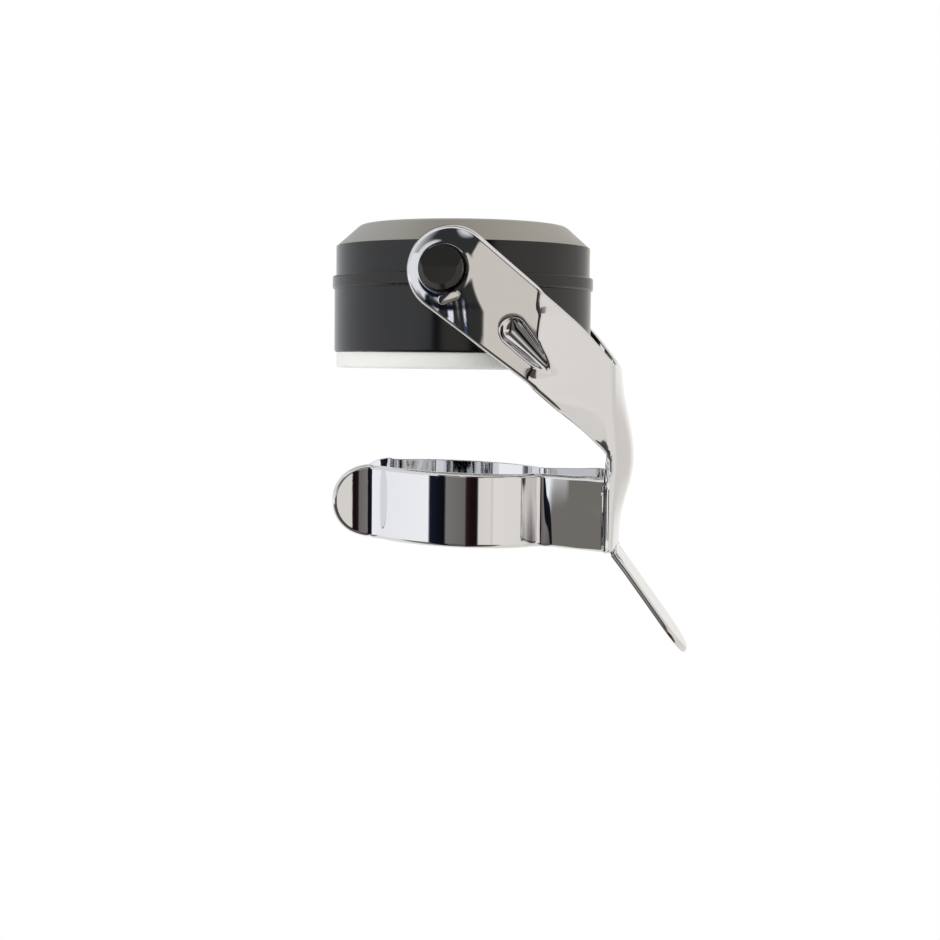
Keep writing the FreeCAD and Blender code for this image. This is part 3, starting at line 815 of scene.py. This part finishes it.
def tabPatch(p, foot):
    bendTurn = math.radians(p["tabAngle"])
    arcLength = bendTurn * p["tabBend"]
    end = p["tabLength"]
    centre = (-p["tabHalf"] + p["tabTipRound"], end - p["tabTipRound"])
    count, quarter = p["tabSteps"]

    def edgeLine(inset):
        # the tab's free edge moved inwards, from its foot round the tip to the middle
        side = [Vector((-p["tabHalf"] + inset, centre[1] * n / count)) for n in range(count)]
        side += arcPoints(centre, p["tabTipRound"] - inset, 180, 135, quarter)
        tip = arcPoints(centre, p["tabTipRound"] - inset, 135, 90, len(foot) - 3)
        return side, tip + [Vector((0, end - inset))]

    def tabPoint(spot, shift):
        turn = min(bendTurn, spot.y / p["tabBend"])
        rest = max(0.0, spot.y - arcLength)
        x = p["webTop"][0] + p["tabBend"] * (1 - math.cos(turn)) + rest * math.sin(bendTurn)
        z = p["foot"] - p["tabBend"] * math.sin(turn) - rest * math.cos(bendTurn)
        return Vector((x + shift * max(0.0, 1 - spot.y / p["tabFade"]), spot.x, z))

    side, tip = edgeLine(p["rimCell"])
    outSide, outTip = edgeLine(0)
    shifts = [q.x - p["webTop"][0] for q in foot]
    start = [Vector((q.y, 0)) for q in foot[1:]]
    side[0] = start[0]
    middle = [Vector((0, (end - p["rimCell"]) * n / (len(side) - 1))) for n in range(len(side))]
    sides = (start, tip, side, middle)
    across, down = lineShares(start), lineShares(side)
    plate = addPatch(len(start) - 1, len(side) - 1, lambda column, row: tabPoint(
        coons(sides, column, row, (across[column], down[row])), shifts[column + 1]))
    inside, outside = side + tip[1:], outSide + outTip[1:]
    strip = addPatch(len(inside) - 1, 1, lambda column, row: tabPoint(
        outside[column] if row == 0 else inside[column], shifts[1 - row] if column == 0 else shifts[0]))
    return [plate, strip]


def dentDepth(p, x, y, z, extra):
    # how far the teardrop's tool reaches past a point of the sheet; extra is the sheet on its inner side
    near, far = Vector(p["dentNear"]), Vector(p["dentFar"])
    run = Vector((far.x - near.x, far.z - near.z))
    away = Vector((x - near.x, z - near.z))
    share = max(0.0, min(1.0, away.dot(run) / run.dot(run)))
    radius = p["dentRadii"][0] + (p["dentRadii"][1] - p["dentRadii"][0]) * share + extra
    axis = near.y + (far.y - near.y) * share
    off = (away - run * share).length
    edge = radius * p["dentWall"]
    if off < edge:
        depth = math.sqrt(radius ** 2 - off ** 2)
    else:
        wall = math.sqrt(radius ** 2 - edge ** 2)
        depth = wall - (off - edge) * edge / wall
    return depth + axis + abs(y)


def softStep(low, high, value):
    share = max(0.0, min(1.0, (value - low) / (high - low)))
    return share * share * (3 - 2 * share)


def inZone(zone, place):
    # whether a point of an arm lies in a zone of x, z and least y
    xLow, xHigh, zLow, zHigh, yLow = zone
    return xLow < place.x < xHigh and zLow < place.z < zHigh and abs(place.y) >= yLow


def pressDent(p, mesh, outerCount):
    # pushes the sheet in at both gussets; the inner skin takes the softer shape of a drawn sheet
    sheetShare, blendShare = p["dentInside"]
    for vert in mesh.vertices:
        x, y, z = vert.co
        if not inZone(p["bendZone"], vert.co):
            continue
        inside = vert.index >= outerCount
        depth = dentDepth(p, x, y, z, p["sheet"] * sheetShare if inside else 0)
        blend = p["dentBlend"] * (blendShare if inside else 1)
        push = (depth + math.sqrt(depth * depth + blend * blend)) / 2
        push *= softStep(*p["dentReach"], depth)
        vert.co.y -= math.copysign(push, y)


def softenBend(p, mesh):
    # near both edges of an arm the bend starts early and low, so that it shows as a small dark fold
    for vert in mesh.vertices:
        x, y, z = vert.co
        if not inZone(p["foldZone"], vert.co):
            continue
        bendX = p["bend"][0] + (z - p["bend"][1]) * math.tan(math.radians(p["bendLean"]))
        share = softStep(*p["foldTop"], z) + softStep(*p["foldFoot"], z)
        along = x - bendX + p["foldWidth"]
        rise = (along + math.sqrt(along * along + p["foldRound"])) / 2
        fall = p["foldTilt"] * min(rise, p["foldWidth"]) * softStep(p["foldEnd"], 0.0, x - bendX)
        vert.co.y -= math.copysign(fall * share, y)


def leanDepth(p, away):
    # how far a leaning face has fallen back, a quick start and then a slow curve
    if away <= 0:
        return 0.0
    start, curve = p["leanStartTilt"], p["leanCurve"]
    return start * (away - p["leanEase"] * (1 - math.exp(-away / p["leanEase"]))) + curve * away ** 2 / 2


def shapeEye(p, mesh, outerCount):
    # the arm's end leans in towards the cap, and a low ring stands round the pin's hole
    hole = Vector(p["holeCentre"])
    start, blend = p["leanStart"], p["leanBlend"]
    for vert in mesh.vertices:
        x, y, z = vert.co
        if abs(y) < p["armFace"] - 2 * p["sheet"] or x > start + blend:
            continue
        reach = (Vector((x, z)) - hole).length
        begin = start + min(p["leanBowMost"], p["leanBow"] * (z - hole.y) ** 2)
        lean = leanDepth(p, begin - x)
        top = leanDepth(p, z - p["topLeanStart"]) * p["topLeanShare"]
        lean += top * softStep(start + blend, start - blend, x)
        if vert.index >= outerCount:
            lean *= p["leanInside"]
        lip = p["lipRise"] * math.exp(-((reach - p["lipRadius"]) / p["lipWidth"]) ** 2)
        streaks = softStep(hole.y - p["waveDrop"][0], hole.y - p["waveDrop"][1], z)
        streaks *= softStep(start, start - p["waveSide"], x)
        wave = p["waveRise"] * math.sin(x * 2 * math.pi / p["waveRun"] + z * p["waveSlant"]) * streaks
        vert.co.y -= math.copysign(lean - lip - wave, y)


def addPip(p):
    # small raised dash below the eye, round ended and soft edged
    length, width = p["pipSize"]
    sink = p["pipSink"]
    bpy.ops.object.select_all(action="DESELECT")
    bpy.ops.mesh.primitive_circle_add(vertices=p["pipSides"], radius=width / 2, fill_type="NGON",
                                      rotation=(math.radians(90), 0, 0))
    pip = bpy.context.object
    bpy.ops.object.transform_apply(location=True, rotation=True, scale=True)
    for vert in pip.data.vertices:
        vert.co.x += math.copysign((length - width) / 2, vert.co.x)
    bpy.ops.object.mode_set(mode="EDIT")
    bpy.ops.mesh.select_all(action="SELECT")
    bpy.ops.mesh.extrude_region_move(TRANSFORM_OT_translate={"value": (0, -p["pipHeight"] - sink, 0)})
    bpy.ops.object.mode_set(mode="OBJECT")
    alignFaces()
    applyModifier(pip, "BEVEL", width=p["pipRound"], segments=5, limit_method="ANGLE",
                  angle_limit=math.radians(50))
    pip.data.transform(Matrix.Rotation(math.radians(-p["pipAngle"]), 4, "Y"))
    pip.data.transform(Matrix.Translation((p["pipPlace"][0], -p["armFace"] + sink, p["pipPlace"][1])))
    return pip


def alignFaces(gap=None):
    # merges points nearer than a gap, where one is given, and turns all faces the same way
    bpy.ops.object.mode_set(mode="EDIT")
    bpy.ops.mesh.select_all(action="SELECT")
    if gap:
        bpy.ops.mesh.remove_doubles(threshold=gap)
    bpy.ops.mesh.normals_make_consistent(inside=False)
    bpy.ops.object.mode_set(mode="OBJECT")


def joinPieces(pieces, name):
    bpy.ops.object.select_all(action="DESELECT")
    for piece in pieces:
        piece.select_set(True)
    bpy.context.view_layer.objects.active = pieces[0]
    bpy.ops.object.join()
    piece = bpy.context.object
    piece.name = piece.data.name = name
    return piece


def applyModifier(obj, kind, **settings):
    mod = obj.modifiers.new(kind.lower(), kind)
    for key, value in settings.items():
        setattr(mod, key, value)
    bpy.ops.object.modifier_apply(modifier=mod.name)


def markRims(p, mesh, outerCount):
    # the outer rims are rounded wide, the inner ones and the pin's hole less
    weight = mesh.attributes.new("bevel_weight_edge", "FLOAT", "EDGE")
    edges = {edge.key: edge.index for edge in mesh.edges}
    for face in mesh.polygons:
        sides = {n < outerCount for n in face.vertices}
        if len(sides) < 2:
            continue
        for a, b in face.edge_keys:
            if (a < outerCount) != (b < outerCount):
                continue
            place = (mesh.vertices[a].co + mesh.vertices[b].co) / 2
            reach = (Vector((place.x, place.z)) - Vector(p["holeCentre"])).length
            atHole = reach < p["holeRadius"] + 0.2 and abs(place.y) > p["armFace"] - 2 * p["sheet"]
            value = p["holeRimShare"] if atHole else 1.0
            weight.data[edges[(a, b)]].value = value if a < outerCount else p["innerRimShare"]


def clearCorners(p, mesh):
    # a turn of the outline keeps one inner edge, so that its rim rounds off evenly
    lines = leverOutline(p)
    turns = [Vector((p["gridX"], armRow(p, lines, p["gridX"], row))) for row in (0, p["rows"])]
    turns.append(Vector(p["heel"]))
    work = bmesh.new()
    work.from_mesh(mesh)
    for turn in turns:
        vert = min(work.verts, key=lambda v: (Vector((v.co.x, v.co.z)) - turn).length)
        inner = [edge for edge in vert.link_edges if len(edge.link_faces) == 2]
        spare = max(inner, key=lambda edge: abs(edge.other_vert(vert).co.x - vert.co.x))
        bmesh.ops.dissolve_edges(work, edges=[spare], use_verts=False)
    work.to_mesh(mesh)
    work.free()


def makeLever(p):
    sectionAt = makeForm(p)
    bpy.ops.object.select_all(action="DESELECT")
    patches = armPatches(p, sectionAt)
    web, foot, side, window = webPatch(p, sectionAt)
    patches += [web] + collarPatch(p, sectionAt, side, window) + tabPatch(p, foot)
    piece = joinPieces(patches, "leverChromed")
    alignFaces(p["mergeGap"][0])
    clearCorners(p, piece.data)
    applyModifier(piece, "MIRROR", use_axis=(False, True, False), use_mirror_merge=True,
                  merge_threshold=p["mergeGap"][1])
    alignFaces()
    spot = Vector((p["gridX"], -p["armFace"], p["holeCentre"][1]))
    facing = min(piece.data.polygons, key=lambda f: (f.center - spot).length)
    if facing.normal.y > 0:
        piece.data.flip_normals()
    outerCount = len(piece.data.vertices)
    applyModifier(piece, "SOLIDIFY", thickness=p["sheet"], offset=-1, use_even_offset=True,
                  use_quality_normals=True)
    softenBend(p, piece.data)
    pressDent(p, piece.data, outerCount)
    shapeEye(p, piece.data, outerCount)
    markRims(p, piece.data, outerCount)
    bpy.ops.object.shade_smooth()
    applyModifier(piece, "BEVEL", limit_method="WEIGHT", width=p["rimRound"], segments=4,
                  use_clamp_overlap=False, harden_normals=True)
    pips = [addPip(p)]
    bpy.ops.object.shade_smooth()
    bpy.ops.object.duplicate()
    pips.append(bpy.context.object)
    pips[1].data.transform(Matrix.Scale(-1, 4, (0, 1, 0)))
    pips[1].data.flip_normals()
    piece = joinPieces([piece] + pips, "leverChromed")
    piece.data.transform(Matrix.Scale(mm, 4))
    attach(piece, "lever")
    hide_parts("lever")
    return piece


# Finishes: grains and pitches are real mm, rough runs from a low to a high value, and bump is
# a depth in mm and its strength
def millimetres(tree, share=1.0):
    # Object coordinates, which are metres, in lengths of share mm
    coord = addNode(tree, "ShaderNodeTexCoord")
    scaled = addNode(tree, "ShaderNodeVectorMath", {0: coord.outputs["Object"]}, operation="SCALE")
    scaled.inputs["Scale"].default_value = 1 / (share * mm)
    return scaled.outputs[0]


def clouds(tree, grain, detail, roughness=0.5):
    # soft clouds, about grain mm from one to the next
    noise = addNode(tree, "ShaderNodeTexNoise", {"Vector": millimetres(tree, grain)}, Scale=1.0,
                    Detail=detail, Roughness=roughness)
    return noise.outputs[0]


def axisRings(tree, pitch, detail, roughness=0.5):
    # uneven rings round the cap's axis, about pitch mm apart
    flat = addNode(tree, "ShaderNodeVectorMath", {0: millimetres(tree)}, operation="MULTIPLY")
    flat.inputs[1].default_value = (1, 1, 0)
    reach = addNode(tree, "ShaderNodeVectorMath", {0: flat.outputs[0]}, operation="LENGTH")
    rings = addNode(tree, "ShaderNodeTexNoise", {"W": reach.outputs["Value"]}, noise_dimensions="1D",
                    Scale=1 / pitch, Detail=detail, Roughness=roughness)
    return rings.outputs[0]


def layPattern(tree, shader, pattern, tints=None, rough=None, bump=None):
    # lets a pattern vary a surface's colour, its roughness and its height
    if tints:
        tint = addNode(tree, "ShaderNodeMix", {"Factor": pattern}, data_type="RGBA")
        tint.inputs[6].default_value = linear(tints[0])
        tint.inputs[7].default_value = linear(tints[1])
        tree.links.new(tint.outputs[2], shader.inputs["Base Color"])
    if rough:
        spread = addNode(tree, "ShaderNodeMapRange", {"Value": pattern}, To_Min=rough[0], To_Max=rough[1])
        tree.links.new(spread.outputs["Result"], shader.inputs["Roughness"])
    if bump:
        relief = addNode(tree, "ShaderNodeBump", {"Height": pattern}, Distance=bump[0] * mm,
                         Strength=bump[1])
        tree.links.new(relief.outputs[0], shader.inputs["Normal"])


chrome = {
    "colour": "#e4e4e6",
    "rough": (0.015, 0.048),
    "swell": 5.0,           # from swell to swell of the pressed sheet
    "swellRough": 0.4,
    "bump": (0.004, 1.0),
    "touch": 3.0,           # marks left by handling
}


def makeChrome(f):
    # bright chrome plate on pressed steel: a mirror with a faint swell, a little dull where handled
    mat, tree, shader = newMaterial("chromePlateOnPressedSteel", Base_Color=linear(f["colour"]),
                                    Metallic=1.0)
    layPattern(tree, shader, clouds(tree, f["swell"], 1.0, f["swellRough"]), bump=f["bump"])
    layPattern(tree, shader, clouds(tree, f["touch"], 4.0), rough=f["rough"])
    return mat


turnedSteel = {
    "tints": ("#a3a19c", "#b6b4ae"),
    "rough": (0.2805, 0.396),
    "stretch": 0.55,        # how far the rings stretch the light across them
    "pitch": 0.16,          # between turning marks, drawn coarser than real ones
    "pitchRough": 0.7,
    "bump": (0.006, 0.6),
}


def makeTurnedSteel(f):
    # stainless steel turned and brushed round its axis: fine rings that stretch the light
    mat, tree, shader = newMaterial("turnedStainlessSteel", Metallic=1.0, Anisotropic=f["stretch"])
    rings = axisRings(tree, f["pitch"], 3.0, f["pitchRough"])
    layPattern(tree, shader, rings, f["tints"], f["rough"], f["bump"])
    around = addNode(tree, "ShaderNodeTangent", direction_type="RADIAL", axis="Z")
    tree.links.new(around.outputs[0], shader.inputs["Tangent"])
    return mat


blackAbs = {
    "colour": "#08080a",
    "ior": 1.53,
    "rough": (0.1275, 0.18),
    "spark": 0.35,          # the mould's spark-eroded grain
    "bump": (0.0015, 0.5),
    "flow": 6.0,
}


def makeAbs(f):
    # black ABS moulded against a fine mould: semi-gloss, with a soft uneven sheen
    mat, tree, shader = newMaterial("mouldedBlackAbs", Base_Color=linear(f["colour"]), IOR=f["ior"])
    layPattern(tree, shader, clouds(tree, f["spark"], 2.0), bump=f["bump"])
    layPattern(tree, shader, clouds(tree, f["flow"], 3.0), rough=f["rough"])
    return mat


whiteNylon = {
    "tints": ("#dcdcd8", "#e2e2df"),
    "ior": 1.53,
    "rough": (0.357, 0.483),
    "lightShare": 0.12,     # light that goes in and comes out again
    "lightReach": 0.8,
    "lightColour": (1.0, 0.9, 0.8),
    "flow": 1.6,
    "bump": (0.003, 0.6),
}


def makeNylon(f):
    # white nylon, moulded smooth: soft, slightly see-through at its edges, with faint flow clouds
    mat, tree, shader = newMaterial("mouldedWhiteNylon", IOR=f["ior"], Subsurface_Weight=f["lightShare"],
                                    Subsurface_Radius=f["lightColour"],
                                    Subsurface_Scale=f["lightReach"] * mm)
    layPattern(tree, shader, clouds(tree, f["flow"], 3.0), f["tints"], f["rough"], f["bump"])
    return mat


greySilicone = {
    "tints": ("#9c9c98", "#a8a8a4"),
    "ior": 1.41,
    "rough": (0.4675, 0.6325),
    "lightShare": 0.2,
    "lightReach": 1.2,
    "bloom": 2.2,
    "bump": (0.01, 0.4),
}


def makeSilicone(f):
    # pressed silicone rubber: matt, milky grey, with a faint bloom
    mat, tree, shader = newMaterial("pressedGreySilicone", IOR=f["ior"], Subsurface_Weight=f["lightShare"],
                                    Subsurface_Scale=f["lightReach"] * mm)
    layPattern(tree, shader, clouds(tree, f["bloom"], 4.0), f["tints"], f["rough"], f["bump"])
    return mat


acetal = {
    "tints": ("#c4c4c0", "#cfcfca"),
    "ior": 1.48,
    "rough": (0.342, 0.437),
    "flow": 2.5,
}


def makeAcetal(f):
    # natural acetal, moulded: a waxy off-white plate
    mat, tree, shader = newMaterial("mouldedAcetal", IOR=f["ior"])
    layPattern(tree, shader, clouds(tree, f["flow"], 2.0), f["tints"], f["rough"])
    return mat


springWire = {
    "colour": "#8f9094",
    "rough": (0.168, 0.336),
    "drawLine": 0.12,       # between the die's marks along the wire
    "bump": (0.004, 0.5),
}


def makeSpringWire(f):
    # drawn spring wire: grey steel with the die's fine lines round each coil
    mat, tree, shader = newMaterial("drawnSpringSteel", Base_Color=linear(f["colour"]), Metallic=1.0)
    layPattern(tree, shader, axisRings(tree, f["drawLine"], 2.0), rough=f["rough"], bump=f["bump"])
    return mat


def finishNodes():
    # the pieces that keep their CAD shape
    black = makeAbs(blackAbs)
    finish = {
        "cap_body": black,
        "cap_lid": black,
        "top_cover": makeTurnedSteel(turnedSteel),
        "retaining_ring": makeNylon(whiteNylon),
        "seal": makeSilicone(greySilicone),
        "pressure_plate": makeAcetal(acetal),
        "spring": makeSpringWire(springWire),
    }
    for node, mat in finish.items():
        useMaterial(bpy.data.objects[node], mat)


bpy.context.scene.view_settings.view_transform = "Standard"
makeCamera(camera)
makeStudio(studio)
for name, (place, size) in studio["lamps"].items():
    addLamp(name, place, size, studio["lampPower"])
print("camera, studio and lamps ready")
finishNodes()
print("finishes of the cap's pieces ready")
leverPiece = makeLever(lever)
useMaterial(leverPiece, makeChrome(chrome))
print("lever", len(leverPiece.data.vertices), sum(len(f.vertices) - 2 for f in leverPiece.data.polygons))

size = {"cad": [list(c) for c in cadBox], "visual": [list(c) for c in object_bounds()]}
